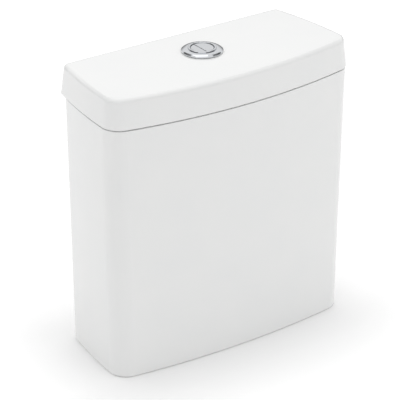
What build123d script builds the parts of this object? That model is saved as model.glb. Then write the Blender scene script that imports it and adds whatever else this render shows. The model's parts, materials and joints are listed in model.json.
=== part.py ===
from build123d import *

import os
from math import cos, radians, sin

# Close-coupled toilet cistern: ceramic tank and lid, two-button flush, fill valve and pan fixings.
# All lengths are millimetres. X runs to the right seen from the front, Y runs back to the wall, Z up.
# The origin is the centre of the footprint of the lid, on the surface that the cistern stands on.

os.makedirs("parts", exist_ok=True)

# Overall ceramic form
overall_height = 392.0
cut_overrun = 5.0
lid_mid_width = 368.0
lid_depth = 168.0
lid_bow = 23.0
lid_front_corner = 26.0
lid_back_corner = 12.0
side_narrowing = 12.0      # each end wall is this much further in at the back than at mid depth
front_flare = 4.0          # and this much further out at the front
lid_height = 40.0
lid_top_round = 6.0
lid_draft = 4.7            # how far the lid's sides lean in from seam to top
lid_top_thickness = 10.0
lid_inner_round = 5.0
lid_hem_round = 1.5

# Locating ribs cast under the lid
rib_depth = 6.0
rib_rise = 16.0
rib_thickness = 6.0
rib_length = 46.0
rib_spread = 95.0
rib_clearance = 2.5

# Tank
lid_overhang = 1.0
lid_back_overhang = 6.5
tank_base_width = 354.0
tank_base_depth = 152.0
tank_base_bow = 14.0
tank_front_corner = 26.0
tank_back_corner = 20.0
tank_wall = 9.0
floor_thickness = 12.0
skirt_depth = 40.0
skirt_wall = 11.0
seam_gap = 1.6
seam_depth = 3.5
tank_hem_round = 3.0
cavity_round = 8.0

# Places of the two valves and the fixing bolts
valve_from_back = 65.5      # from the tank's back to both valves
inlet_from_end = 58.0       # from the end of the rim to the fill valve
bolt_spacing = 150.0

# Push button: chromed bezel, two buttons, guide, springs, push rods
bezel_radius = 27.0
bezel_edge = 1.2
bezel_crest_height = 5.8
bezel_crest_width = 2.8
bezel_crest_round = 0.7
bezel_flank_bulge = 0.7
bezel_ring_step = 1.4       # the ring round the buttons stands this far above the flank
bezel_lip_depth = 3.0
sleeve_radius = 18.5
sleeve_wall = 1.6
sleeve_length = 28.0
sleeve_hole_clearance = 1.5
bezel_gasket_thickness = 0.8
clamp_nut_radius = 30.0
clamp_nut_height = 9.0
clamp_nut_flange = 3.0
clamp_nut_lobes = 8
clamp_nut_lobe_radius = 4.0
thread_clearance = 0.2
button_radius = 15.0
button_clearance = 0.6
shoulder_clearance = 0.4
button_sink = 0.8
button_plate = 1.5         # below the lip that the button's shoulder stops at
button_stop_clearance = 0.1
button_skirt_wall = 1.3
button_skirt_drop = 6.0
button_edge_round = 0.9
split_offset = 5.0         # the line between the two buttons lies this far left of the centre
split_gap = 0.5
split_sag = 2.2
rod_offset = 10.0
stem_radius = 3.0
stem_bore = 2.05
stem_length = 26.0
rod_radius = 2.0
rod_engagement = 12.0
foot_radius = 5.0
foot_height = 4.0
guide_drop = 20.0          # guide plate top, below the lid's top
guide_thickness = 3.0
guide_bush_wall = 1.0
guide_bush_drop = 6.0
guide_slide_clearance = 0.25
guide_fit_clearance = 0.1
spring_wire_radius = 0.35
spring_turns = 6
spring_wire_sides = 6
spring_point_count = 24     # per turn, where its gap is measured
spring_seat_clearance = 0.15

# Flush valve base, under the floor and inside
tail_radius = 29.0
tail_bore = 24.5
tail_clearance_to_ground = 4.0
tail_nose_radius = 27.5
tail_nose_length = 8.0
outlet_hole_clearance = 1.5
base_flange_radius = 42.0
base_flange_thickness = 4.0
base_seal_thickness = 4.0
base_seal_radius = 38.0
seat_width = 4.0
seat_height = 6.0
seat_round = 1.5
outlet_nut_radius = 40.0
outlet_nut_height = 12.0
outlet_nut_lobes = 6
outlet_nut_lobe_radius = 5.0
gasket_radius = 48.0
gasket_face_height = 13.0
gasket_lap = 8.0
gasket_clearance = 0.4

# Tower of the flush valve
cage_wall = 4.0
cage_foot_height = 10.0
cage_ring_height = 6.0
cage_post_width = 11.0
cage_posts = 4
head_thickness = 5.0
head_ear_thickness = 4.0
head_ear_width = 15.0
ear_gap = 1.5
tube_slide_clearance = 0.6

# Lifting tube of the flush valve, also the overflow
overflow_drop = 114.0       # from the lid's top to the top of the tube
tube_radius = 17.0
tube_wall = 1.8
tube_foot_drop = 6.0
tube_flange_radius = 32.0
tube_flange_thickness = 3.0
seal_thickness = 3.0
seal_radius = 31.0
retainer_radius = 22.5
retainer_height = 4.0
retainer_round = 1.0
tube_float_radius = 32.0
tube_float_height = 40.0
tube_float_gap = 12.0
tube_float_round = 4.0
tube_float_wall = 2.0
collar_width = 3.0
collar_below_top = 0.7
lug_thickness = 3.0
lug_inner_x = 17.0
lug_outer_x = 36.0

# Half-flush ports and the sleeve that covers them
port_bottom = 150.0
port_height = 8.0
port_width = 14.0
port_count = 4
sleeve_lap = 4.0
port_sleeve_height = 44.0
port_sleeve_wall = 3.0
port_sleeve_clearance = 0.3
sleeve_seal_section = 1.6
sleeve_seal_clearance = 0.05
strap_thickness = 2.0
strap_width = 8.0
strap_gap = 1.6            # between the tube and the strap beside it
strap_slot_clearance = 1.0

# Rocking levers between push rods and tube
lever_swing = 30.0         # degrees
lever_gap = 1.4            # between strap and lever
lever_thickness = 5.0
pivot_above_tube = 16.5
pin_radius = 2.5
pin_clearance = 0.06
pin_head_radius = 4.0
pin_head_thickness = 1.5
hub_radius = 6.5
nose_radius = 4.0
nose_rise = 10.0
nose_reach = 5.0
tip_radius = 3.0
tip_arm = 22.0
arm_width = 6.0
elbow_x = 3.0
contact_clearance = 0.3
foot_clearance = 0.5

# Fill valve
shank_radius = 10.48
shank_bore = 5.5
shank_clearance_to_ground = 4.0
inlet_hole_clearance = 1.5
inlet_flange_radius = 18.0
inlet_flange_thickness = 4.0
inlet_seal_thickness = 3.0
inlet_seal_radius = 17.0
inlet_nut_radius = 17.0
inlet_nut_height = 10.0
inlet_nut_flange = 3.0
filter_depth = 14.0
filter_wall = 1.0
filter_slots = 6
lower_riser_radius = 13.5
riser_exposed = 119.0       # riser tube that shows between its two ends
shank_ribs = 4
shank_rib_thickness = 2.0
shank_rib_height = 8.0
relief_below_nut = 1.0       # thread relief, under the nut
relief_height = 1.5
relief_depth = 0.8
riser_radius = 12.0
riser_wall = 2.5
riser_overlap = 20.0
lock_ring_height = 15.0
lock_ring_wall = 4.0
lock_ring_ribs = 12
lock_ring_rib_radius = 1.2
head_radius = 19.0
fill_head_drop = 130.0      # from the lid's top to the underside of the fill valve's head
fill_head_height = 22.0
fill_head_wall = 3.0
cap_height = 8.0
cap_radius = 20.5
cap_ribs = 16
cap_notch_radius = 1.2
diaphragm_thickness = 2.5
cap_round = 1.2
pilot_radius = 2.0
pilot_clearance = 0.8
pilot_seal_radius = 2.6
pilot_seal_height = 1.5

# Float and its lever
float_radius = 29.0
float_height = 50.0
float_wall = 1.8
float_round = 3.6
float_lug_drop = 3.6
float_gap = 1.5
float_drop = 16.0          # float top, below the fill head, with the cistern empty
float_lug_width = 12.0
float_lug_height = 14.0
float_lug_reach = 18.0
float_lever_droop = 12.0   # degrees, cistern empty
float_lever_swing = 24.0   # degrees
float_pivot_offset = 10.0
float_pivot_height = 10.0
float_lever_width = 8.0
float_lever_thickness = 4.0
float_ear_thickness = 3.0
float_ear_gap = 0.4
float_ear_half = 4.0
float_pin_radius = 1.6
link_offset = 40.0
link_radius = 2.0
link_collar_radius = 4.0
link_collar_thickness = 2.0
link_play = 1.3
link_foot = 12.0
slot_clearance = 0.6
clip_height = 5.0
clip_wall = 2.0
clip_thumb = 6.0

# Pan fixing bolts
bolt_radius = 4.0
bolt_hole_clearance = 2.0
bolt_head_radius = 9.0
bolt_head_height = 4.0
bolt_head_round = 1.3
bolt_clearance_to_ground = 3.0
bolt_slot_width = 1.6
bolt_slot_depth = 1.8
bolt_washer_radius = 11.0
bolt_washer_thickness = 1.5
bolt_seal_radius = 12.0
bolt_seal_thickness = 3.0
bolt_nut_across = 13.0
bolt_nut_height = 6.0
wing_hub_radius = 7.0
wing_height = 8.0
wing_span = 28.0
wing_thickness = 3.0
wing_rise = 4.0

# Levels and radii that follow from the sizes above
rim_z = overall_height - lid_height
floor_top = skirt_depth + floor_thickness
lid_back = lid_depth / 2
tank_back = lid_back - lid_back_overhang
valve_y = tank_back - valve_from_back
tank_top_width = lid_mid_width - 2 * lid_overhang
inlet_x = inlet_from_end - tank_top_width / 2
tank_top_depth = lid_depth - lid_overhang - lid_back_overhang

crest_z = overall_height + bezel_crest_height
crest_radius = button_radius + button_clearance
lip_under = crest_z - bezel_lip_depth
sleeve_bore = sleeve_radius - sleeve_wall
sleeve_bottom = overall_height - sleeve_length
shoulder_radius = sleeve_bore - shoulder_clearance
shoulder_top = lip_under - button_stop_clearance
button_top = crest_z - button_sink
button_under = shoulder_top - button_plate
guide_top = overall_height - guide_drop
spring_lift = spring_wire_radius + guide_fit_clearance
spring_coil_radius = stem_radius + guide_slide_clearance + spring_seat_clearance + spring_wire_radius

base_seal_bottom = floor_top
base_flange_bottom = base_seal_bottom + base_seal_thickness
base_flange_top = base_flange_bottom + base_flange_thickness
seat_z = base_flange_top + seat_height
tail_bottom = tail_clearance_to_ground
tube_bottom = seat_z - tube_foot_drop
tube_flange_bottom = seat_z + seal_thickness

overflow_top = overall_height - overflow_drop
lug_top = overflow_top - collar_below_top
lug_bottom = lug_top - lug_thickness
pivot_z = overflow_top + pivot_above_tube
tip_drop = pivot_z - lug_bottom + contact_clearance + tip_radius
swing = radians(lever_swing)
button_travel = nose_rise * (1 - cos(swing)) + rod_offset * sin(swing)
tube_lift = tip_arm * sin(swing) + tip_drop * (1 - cos(swing))
pad_z = pivot_z + nose_rise + nose_radius
strap_near = tube_radius + strap_gap
lever_near = strap_near + strap_thickness + lever_gap
lever_far = lever_near + lever_thickness
ear_near = lever_far + ear_gap
ear_far = ear_near + head_ear_thickness
head_top = lug_bottom - 2 * tip_radius - nose_rise / 2
head_bottom = head_top - head_thickness

fill_head_bottom = overall_height - fill_head_drop
fill_head_top = fill_head_bottom + fill_head_height
cap_top = fill_head_top + cap_height
float_pivot_z = cap_top + float_pivot_height
float_top = fill_head_bottom - float_drop
float_arm = link_offset - float_pivot_offset
droop = radians(float_lever_droop)
rise = radians(float_lever_swing) - droop
float_travel = float_arm * (sin(droop) + sin(rise))
link_hold_z = float_pivot_z - float_arm * sin(droop)
pilot_seal_z = float_lever_thickness / 2 + pilot_seal_height
pilot_top = float_pivot_z - pilot_seal_z - float_pivot_offset * sin(rise) - pilot_clearance
inlet_flange_bottom = floor_top + inlet_seal_thickness
lower_riser_bottom = inlet_flange_bottom + inlet_flange_thickness
lower_riser_top = fill_head_bottom - riser_exposed

bolt_places = [(-bolt_spacing / 2, valve_y), (bolt_spacing / 2, valve_y)]


def bar(radius, bottom, top):
    """A round bar on the Z axis."""
    return Pos(0, 0, bottom) * Cylinder(radius, top - bottom, align=(Align.CENTER, Align.CENTER, Align.MIN))


def ring(outer, inner, bottom, top):
    """A round tube on the Z axis."""
    return bar(outer, bottom, top) - bar(inner, bottom - cut_overrun, top + cut_overrun)


def block(x0, x1, y0, y1, z0, z1):
    """A box between two corners."""
    return Pos((x0 + x1) / 2, (y0 + y1) / 2, (z0 + z1) / 2) * Box(abs(x1 - x0), abs(y1 - y0), abs(z1 - z0))


def bar_along_y(radius, x, z, y0, y1):
    """A round bar parallel to the Y axis."""
    return Pos(x, (y0 + y1) / 2, z) * Rot(90, 0, 0) * Cylinder(radius, abs(y1 - y0))


def relieved(radius, bottom, top, nut_bottom):
    """A threaded bar with a relief groove under its nut."""
    groove_top = nut_bottom - relief_below_nut
    groove = ring(radius + cut_overrun, radius - relief_depth, groove_top - relief_height, groove_top)
    return bar(radius, bottom, top) - groove


def around(count, shape, start=0.0):
    """Copies of a shape spaced evenly round the Z axis."""
    return [Rot(0, 0, start + 360 / count * i) * shape for i in range(count)]


def at_valve(shape):
    return Pos(0, valve_y, 0) * shape


def at_inlet(shape):
    return Pos(inlet_x, valve_y, 0) * shape


def at_bolts(shape):
    return [Pos(x, y, 0) * shape for x, y in bolt_places]


def save(name, solids):
    """Writes one node, from a shape or a list of separate solids."""
    pieces = solids if isinstance(solids, list) else [solids]
    whole = Compound(children=[s for piece in pieces for s in piece.solids()])
    export_step(whole, f"parts/{name}.step")


# The ceramic plan: a flat back, two end walls and a front that are shallow arcs, and four rounded corners.
def plan(mid_width, depth, bow, front_corner, back_corner, back_y, z, inset=0.0):
    half_mid = mid_width / 2 - inset
    half_back = half_mid - side_narrowing
    half_front = half_mid + front_flare
    y_back = back_y - inset
    y_front = back_y - depth + inset
    y_corner = y_front + bow
    y_mid = (y_back + y_corner) / 2
    edges = [
        Line((half_back, y_back), (-half_back, y_back)),
        ThreePointArc((-half_back, y_back), (-half_mid, y_mid), (-half_front, y_corner)),
        ThreePointArc((-half_front, y_corner), (0, y_front), (half_front, y_corner)),
        ThreePointArc((half_front, y_corner), (half_mid, y_mid), (half_back, y_back)),
    ]
    face = make_face(edges)
    face = fillet(face.vertices().sort_by(Axis.Y)[:2], max(front_corner - inset, inset / 2))
    face = fillet(face.vertices().sort_by(Axis.Y)[-2:], max(back_corner - inset, inset / 2))
    return Pos(0, 0, z) * face


def tank_plan(z, inset=0.0):
    """The tank's plan at a height, between its base and its rim."""
    share = z / rim_z
    return plan(
        tank_base_width + (tank_top_width - tank_base_width) * share,
        tank_base_depth + (tank_top_depth - tank_base_depth) * share,
        tank_base_bow + (lid_bow - tank_base_bow) * share,
        tank_front_corner,
        tank_back_corner,
        tank_back,
        z,
        inset,
    )


def rim_plan(z, inset=0.0):
    """The plan of the tank's rim, drawn at any height."""
    corners = (tank_front_corner, tank_back_corner)
    return plan(tank_top_width, tank_top_depth, lid_bow, *corners, tank_back, z, inset)


def lid_plan(z, inset=0.0):
    return plan(lid_mid_width, lid_depth, lid_bow, lid_front_corner, lid_back_corner, lid_back, z, inset)


def between(lower, upper):
    """A ruled solid between two plans."""
    return loft([lower, upper], ruled=True)


def make_tank():
    body = between(tank_plan(0), tank_plan(rim_z))
    body = fillet(body.faces().sort_by(Axis.Z)[0].edges(), tank_hem_round)
    cavity = between(tank_plan(floor_top, tank_wall), tank_plan(rim_z + cut_overrun, tank_wall))
    cavity = fillet(cavity.faces().sort_by(Axis.Z)[0].edges(), cavity_round)
    recess = between(tank_plan(-cut_overrun, skirt_wall), tank_plan(skirt_depth, skirt_wall))
    body = body - cavity - recess
    # The rim's outer edge is lower than its seat, which leaves the dark seam under the lid.
    shoulder = between(tank_plan(rim_z - seam_gap, -cut_overrun), tank_plan(rim_z + cut_overrun, -cut_overrun))
    seat = between(tank_plan(rim_z - seam_gap, seam_depth), tank_plan(rim_z + cut_overrun, seam_depth))
    body = body - (shoulder - seat)
    holes = [at_valve(bar(tail_radius + outlet_hole_clearance, 0, floor_top + cut_overrun))]
    holes += [at_inlet(bar(shank_radius + inlet_hole_clearance, 0, floor_top + cut_overrun))]
    holes += at_bolts(bar(bolt_radius + bolt_hole_clearance, 0, floor_top + cut_overrun))
    for hole in holes:
        body -= hole
    return body


def make_lid():
    body = between(lid_plan(rim_z), lid_plan(overall_height, lid_draft))
    body = fillet(body.faces().sort_by(Axis.Z)[-1].edges(), lid_top_round)
    body = fillet(body.faces().sort_by(Axis.Z)[0].edges(), lid_hem_round)
    # The lid's walls stand on the rim, so its hollow starts from the same plan as the tank's.
    ceiling = overall_height - lid_top_thickness
    hollow = between(rim_plan(rim_z - cut_overrun, tank_wall), rim_plan(ceiling, tank_wall + lid_draft))
    body -= fillet(hollow.faces().sort_by(Axis.Z)[-1].edges(), lid_inner_round)
    # Ribs reach down inside the tank's walls and keep the lid in place.
    rib_outer = tank_wall + rib_clearance
    rib_inner = rib_outer + rib_thickness
    low = rim_z - rib_depth
    high = rim_z + rib_rise
    band = between(rim_plan(low, rib_outer), rim_plan(high, rib_outer))
    band += between(rim_plan(rim_z, rib_clearance), rim_plan(high, rib_clearance))
    band -= between(rim_plan(low - cut_overrun, rib_inner), rim_plan(high + cut_overrun, rib_inner))
    for x in (-rib_spread, rib_spread):
        body += band & block(x - rib_length / 2, x + rib_length / 2, -lid_depth, lid_depth, low, high)
    hole = at_valve(bar(sleeve_radius + sleeve_hole_clearance, rim_z, overall_height + cut_overrun))
    return body - hole


# Push button
def make_bezel():
    foot = overall_height + bezel_gasket_thickness
    edge_top = foot + bezel_edge
    crest_outer = crest_radius + bezel_crest_width
    flank_top = crest_z - bezel_ring_step
    flank_mid = (
        (bezel_radius + crest_outer) / 2 + bezel_flank_bulge,
        (edge_top + flank_top) / 2 + bezel_flank_bulge,
    )
    outline = [
        Line((sleeve_bore, sleeve_bottom), (sleeve_radius, sleeve_bottom)),
        Line((sleeve_radius, sleeve_bottom), (sleeve_radius, foot)),
        Line((sleeve_radius, foot), (bezel_radius, foot)),
        Line((bezel_radius, foot), (bezel_radius, edge_top)),
        ThreePointArc((bezel_radius, edge_top), flank_mid, (crest_outer, flank_top)),
        Line((crest_outer, flank_top), (crest_outer, crest_z)),
        Line((crest_outer, crest_z), (crest_radius, crest_z)),
        Line((crest_radius, crest_z), (crest_radius, lip_under)),
        Line((crest_radius, lip_under), (sleeve_bore, lip_under)),
        Line((sleeve_bore, lip_under), (sleeve_bore, sleeve_bottom)),
    ]
    bezel = revolve(Plane.XZ * make_face(outline), Axis.Z)
    crest = bezel.edges().filter_by(GeomType.CIRCLE).group_by(Axis.Z)[-1]
    return at_valve(fillet(crest, bezel_crest_round))


def make_bezel_gasket():
    return at_valve(
        ring(bezel_radius - bezel_edge, sleeve_radius, overall_height, overall_height + bezel_gasket_thickness)
    )


def make_clamp_nut():
    top = overall_height - lid_top_thickness
    bottom = top - clamp_nut_height
    nut = bar(clamp_nut_radius - clamp_nut_lobe_radius, bottom, top)
    flange = bar(clamp_nut_radius, top - clamp_nut_flange, top)
    lobe = Pos(clamp_nut_radius - clamp_nut_lobe_radius, 0, 0) * bar(clamp_nut_lobe_radius, bottom, top)
    nut = nut + flange + around(clamp_nut_lobes, lobe)
    return at_valve(nut - bar(sleeve_radius + thread_clearance, bottom - cut_overrun, top + cut_overrun))


def button_part(side, radius, bottom, top):
    """The left or right share of a disc, on one side of the curved line between the two buttons."""
    reach = 2 * bezel_radius
    x = -split_offset + side * split_gap / 2
    keep = make_face(
        [
            ThreePointArc((x, -reach), (x + split_sag, 0), (x, reach)),
            Line((x, reach), (side * reach, reach)),
            Line((side * reach, reach), (side * reach, -reach)),
            Line((side * reach, -reach), (x, -reach)),
        ]
    )
    return bar(radius, bottom, top) & Pos(0, 0, bottom) * extrude(keep, top - bottom)


def make_button(side):
    skirt_bottom = button_under - button_skirt_drop
    body = button_part(side, button_radius, shoulder_top, button_top)
    body = fillet(body.faces().sort_by(Axis.Z)[-1].edges(), button_edge_round)
    body += button_part(side, shoulder_radius, button_under, shoulder_top)
    body += button_part(side, shoulder_radius, skirt_bottom, button_under) - bar(
        shoulder_radius - button_skirt_wall, skirt_bottom - cut_overrun, button_under
    )
    stem_end = button_under - stem_length
    stem = bar(stem_radius, stem_end, button_under)
    bore = bar(stem_bore, stem_end - cut_overrun, stem_end + rod_engagement)
    return at_valve(body + Pos(side * rod_offset, 0, 0) * (stem - bore))


def make_push_rod(side):
    foot_bottom = pad_z + foot_clearance
    top = button_under - stem_length + rod_engagement
    rod = bar(rod_radius, foot_bottom, top) + bar(foot_radius, foot_bottom, foot_bottom + foot_height)
    rod = rod + bar(stem_radius, foot_bottom + foot_height, foot_bottom + 2 * foot_height)
    return at_valve(Pos(side * rod_offset, 0, 0) * rod)


def make_button_guide():
    bore = stem_radius + guide_slide_clearance
    bush = bore + guide_bush_wall
    bottom = guide_top - guide_thickness
    guide = bar(sleeve_bore - guide_fit_clearance, bottom, guide_top)
    for side in (-1, 1):
        guide += Pos(side * rod_offset, 0, 0) * bar(bush, bottom - guide_bush_drop, guide_top)
        guide -= Pos(side * rod_offset, 0, 0) * bar(
            bore, bottom - guide_bush_drop - cut_overrun, guide_top + cut_overrun
        )
    return at_valve(guide)


def spring_path():
    length = button_under - guide_top - 2 * spring_lift
    return Helix(length / spring_turns, length, spring_coil_radius)


def spring_gap():
    """The least gap between one turn of a spring and the next, measured on points along its path."""
    path = spring_path()
    steps = spring_turns * spring_point_count
    points = [path @ (i / steps) for i in range(steps + 1)]
    half_turn = spring_point_count // 2
    pairs = [(a, b) for i, a in enumerate(points) for b in points[i + half_turn:]]
    return min((a - b).length for a, b in pairs) - 2 * spring_wire_radius


def make_button_spring(side):
    """One coil, from the guide plate up to the underside of its button."""
    path = spring_path()
    section = Plane(path @ 0, z_dir=path % 0) * RegularPolygon(spring_wire_radius, spring_wire_sides)
    wire = sweep(section, path=path, is_frenet=True)
    return at_valve(Pos(side * rod_offset, 0, guide_top + spring_lift) * wire)


# Flush valve
def make_valve_base():
    nose_top = tail_bottom + tail_nose_length
    base = ring(tail_nose_radius, tail_bore, tail_bottom, nose_top)
    base += ring(tail_radius, tail_bore, nose_top, base_flange_bottom)
    base += ring(base_flange_radius, tail_bore, base_flange_bottom, base_flange_top)
    seat = ring(tail_bore + seat_width, tail_bore, base_flange_top, seat_z)
    base += fillet(seat.edges().group_by(Axis.Z)[-1], seat_round)
    return at_valve(base)


def make_base_seal():
    return at_valve(ring(base_seal_radius, tail_radius, base_seal_bottom, base_flange_bottom))


def make_outlet_nut():
    bottom = skirt_depth - outlet_nut_height
    nut = bar(outlet_nut_radius - outlet_nut_lobe_radius, bottom, skirt_depth)
    lobe = bar(outlet_nut_lobe_radius, bottom, skirt_depth)
    lobe = Pos(outlet_nut_radius - outlet_nut_lobe_radius, 0, 0) * lobe
    nut = nut + around(outlet_nut_lobes, lobe)
    bore = bar(tail_radius + thread_clearance, bottom - cut_overrun, skirt_depth + cut_overrun)
    return at_valve(nut - bore)


def make_coupling_gasket():
    nut_bottom = skirt_depth - outlet_nut_height
    top = nut_bottom + gasket_lap
    gasket = bar(gasket_radius, gasket_face_height, top)
    gasket = fillet(gasket.edges().sort_by(Axis.Z)[0], gasket_lap / 2)
    gasket -= bar(tail_radius + gasket_clearance, 0, top + cut_overrun)
    nut_room = bar(outlet_nut_radius + gasket_clearance, nut_bottom - gasket_clearance, top + cut_overrun)
    return at_valve(gasket - nut_room)


def make_cage():
    outer = base_flange_radius
    inner = outer - cage_wall
    foot_top = base_flange_top + cage_foot_height
    cage = ring(outer, inner, base_flange_top, foot_top)
    middle = (foot_top + head_bottom) / 2
    for bottom in (middle - cage_ring_height / 2, head_bottom - cage_ring_height):
        cage += ring(outer, inner, bottom, bottom + cage_ring_height)
    span = ring(outer, inner, foot_top - cage_ring_height / 2, head_bottom)
    post = block(0, 2 * outer, -cage_post_width / 2, cage_post_width / 2, 0, overall_height)
    for cutter in around(cage_posts, post, 180 / cage_posts):
        cage += span & cutter
    return at_valve(cage)


def make_tower_head():
    head = bar(base_flange_radius, head_bottom, head_top)
    head -= bar(tube_radius + tube_slide_clearance, head_bottom - cut_overrun, head_top + cut_overrun)
    slot_y0 = -(strap_near - strap_slot_clearance)
    slot_y1 = -(strap_near + strap_thickness + strap_slot_clearance)
    slot_x0 = lug_inner_x - strap_slot_clearance
    slot_x1 = lug_inner_x + strap_width + strap_slot_clearance
    head -= block(slot_x0, slot_x1, slot_y0, slot_y1, head_bottom - cut_overrun, head_top + cut_overrun)
    ear_top = pivot_z + hub_radius
    for side in (-1, 1):
        half = head_ear_width / 2
        ear = block(-half, half, side * ear_near, side * ear_far, head_bottom, pivot_z)
        ear += bar_along_y(half, 0, pivot_z, side * ear_near, side * ear_far)
        brace_top = (head_top + pivot_z) / 2
        brace = block(-head_ear_width, head_ear_width, side * ear_near, side * ear_far, head_bottom, brace_top)
        ear += fillet(brace.edges().filter_by(Axis.Y).sort_by(Axis.Z)[-2:], head_ear_thickness)
        head += ear
        head -= bar_along_y(pin_radius, 0, pivot_z, side * lever_near, side * (ear_far + cut_overrun))
    return at_valve(head)


def lug(side):
    """The plate that a lever's tip lifts: on the front right for side -1, on the back left for side 1."""
    x0, x1 = sorted((-side * lug_inner_x, -side * lug_outer_x))
    return block(x0, x1, side * strap_near, side * lever_far, lug_bottom, lug_top)


def make_overflow_tube():
    bore = tube_radius - tube_wall
    tube = ring(tube_radius, bore, tube_bottom, overflow_top)
    tube += ring(tube_flange_radius, bore, tube_flange_bottom, tube_flange_bottom + tube_flange_thickness)
    port = block(0, 2 * tube_radius, -port_width / 2, port_width / 2, port_bottom, port_bottom + port_height)
    for cutter in around(port_count, port):
        tube -= cutter
    return at_valve(tube)


def make_lift_collar():
    collar = ring(tube_radius + collar_width, tube_radius, lug_bottom, lug_top)
    bridge_end = -(pin_head_radius + strap_gap)
    bridge_far = strap_near + strap_thickness
    bridge = block(-lug_inner_x - strap_width, bridge_end, strap_near - collar_width, bridge_far, lug_bottom, lug_top)
    bridge -= bar(tube_radius, lug_bottom - cut_overrun, lug_top + cut_overrun)
    return at_valve(collar + bridge + lug(1))


def make_flush_seal():
    return at_valve(ring(seal_radius, tube_radius, seat_z, tube_flange_bottom))


def make_seal_retainer():
    retainer = ring(retainer_radius, tube_radius, seat_z - retainer_height, seat_z)
    lower_edges = retainer.edges().group_by(Axis.Z)[0]
    return at_valve(fillet(lower_edges.sort_by(SortBy.LENGTH)[-1], retainer_round))


def make_tube_float():
    bottom = tube_flange_bottom + tube_flange_thickness + tube_float_gap
    top = bottom + tube_float_height
    shell = bar(tube_float_radius, bottom, top)
    shell = fillet(shell.edges().group_by(Axis.Z)[-1], tube_float_round)
    inner = tube_radius + tube_float_wall
    shell -= ring(tube_float_radius - tube_float_wall, inner, bottom - cut_overrun, top - tube_float_wall)
    return at_valve(shell - bar(tube_radius, bottom - cut_overrun, top + cut_overrun))


def sleeve_levels():
    bottom = port_bottom - sleeve_lap
    return bottom, bottom + port_sleeve_height


def seal_levels():
    bottom, top = sleeve_levels()
    inset = sleeve_lap / 2 - sleeve_seal_section / 2
    return [bottom + inset, top - inset - sleeve_seal_section]


def make_port_sleeve():
    bottom, top = sleeve_levels()
    bore = tube_radius + port_sleeve_clearance
    outer = bore + port_sleeve_wall
    strap_x1 = lug_inner_x + strap_width
    y_near, y_far = -strap_near, -(strap_near + strap_thickness)
    sleeve = bar(outer, bottom, top)
    sleeve += block(0, strap_x1, y_far, 0, top - sleeve_lap, top) & bar(lug_outer_x, bottom, top)
    sleeve -= bar(bore, bottom - cut_overrun, top + cut_overrun)
    for level in seal_levels():
        groove_top = level + sleeve_seal_section
        sleeve -= ring(bore + sleeve_seal_section, bore - sleeve_seal_section, level, groove_top)
    sleeve += block(lug_inner_x, strap_x1, y_far, y_near, top - sleeve_lap, lug_top)
    return at_valve(sleeve + lug(-1))


def make_sleeve_seals():
    bore = tube_radius + port_sleeve_clearance
    inner = tube_radius + sleeve_seal_clearance
    outer = bore + sleeve_seal_section
    return [at_valve(ring(outer, inner, z, z + sleeve_seal_section)) for z in seal_levels()]


def make_rocker():
    """The front lever: its pad is over the left push rod's line, its tip under the right-hand lug."""
    y0, y1 = -lever_far, -lever_near
    pad_x = -rod_offset
    tip_x, tip_z = tip_arm, -tip_drop
    half = arm_width / 2
    corner = elbow_x + half

    def web(points):
        profile = make_face(Polyline(*points, close=True))
        return Pos(0, y1, 0) * extrude(Plane.XZ * profile, lever_thickness)

    hub = bar_along_y(hub_radius, 0, 0, y0, y1)
    nose = bar_along_y(nose_radius, pad_x, nose_rise, y0, nose_reach)
    tip = bar_along_y(tip_radius, tip_x, tip_z, y0, y1)
    elbow = elbow_x - half
    under, over = tip_z - tip_radius, tip_z + tip_radius
    pad_side = pad_x + nose_radius / 2
    up = web([(0, -half), (half, half), (pad_side, nose_rise + half), (pad_x - half, nose_rise - half)])
    crook = [(corner, under + half), (corner, under), (elbow, under), (elbow, tip_z)]
    drop = web([(-half, 0), (half, 0), *crook])
    reach = web([(elbow, under), (tip_x, under), (tip_x, over), (corner, over), (elbow, tip_z + half)])
    lever = hub + nose + tip + up + drop + reach
    lever -= bar_along_y(pin_radius + pin_clearance, 0, 0, y0 - cut_overrun, y1 + cut_overrun)
    return Pos(0, 0, pivot_z) * lever


def make_half_lever():
    return at_valve(make_rocker())


def make_full_lever():
    return at_valve(Rot(0, 0, 180) * make_rocker())


def make_lever_pins():
    head_end = lever_near - pin_clearance
    inner_end = head_end - pin_head_thickness
    pins = []
    for side in (-1, 1):
        pin = bar_along_y(pin_radius, 0, pivot_z, side * inner_end, side * ear_far)
        pin += bar_along_y(pin_head_radius, 0, pivot_z, side * inner_end, side * head_end)
        pins.append(at_valve(pin))
    return pins


# Fill valve
def make_shank():
    nut_bottom = skirt_depth - inlet_nut_height
    shank = relieved(shank_radius, shank_clearance_to_ground, inlet_flange_bottom, nut_bottom)
    shank += bar(inlet_flange_radius, inlet_flange_bottom, lower_riser_bottom)
    shank += bar(lower_riser_radius, lower_riser_bottom, lower_riser_top)
    half = shank_rib_thickness / 2
    rib_top = lower_riser_bottom + shank_rib_height
    rib = block(0, inlet_flange_radius - half, -half, half, lower_riser_bottom, rib_top)
    for turned in around(shank_ribs, rib):
        shank += turned
    shank -= bar(shank_bore, 0, lower_riser_top + cut_overrun)
    shank -= bar(riser_radius, lower_riser_top - riser_overlap, lower_riser_top + cut_overrun)
    return at_inlet(shank)


def make_inlet_seal():
    return at_inlet(ring(inlet_seal_radius, shank_radius, floor_top, inlet_flange_bottom))


def make_inlet_nut():
    bottom = skirt_depth - inlet_nut_height
    nut = extrude(RegularPolygon(inlet_nut_radius, 6).face(), inlet_nut_height)
    nut = Pos(0, 0, bottom) * nut + bar(inlet_nut_radius, skirt_depth - inlet_nut_flange, skirt_depth)
    bore = bar(shank_radius + thread_clearance, bottom - cut_overrun, skirt_depth + cut_overrun)
    return at_inlet(nut - bore)


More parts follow.
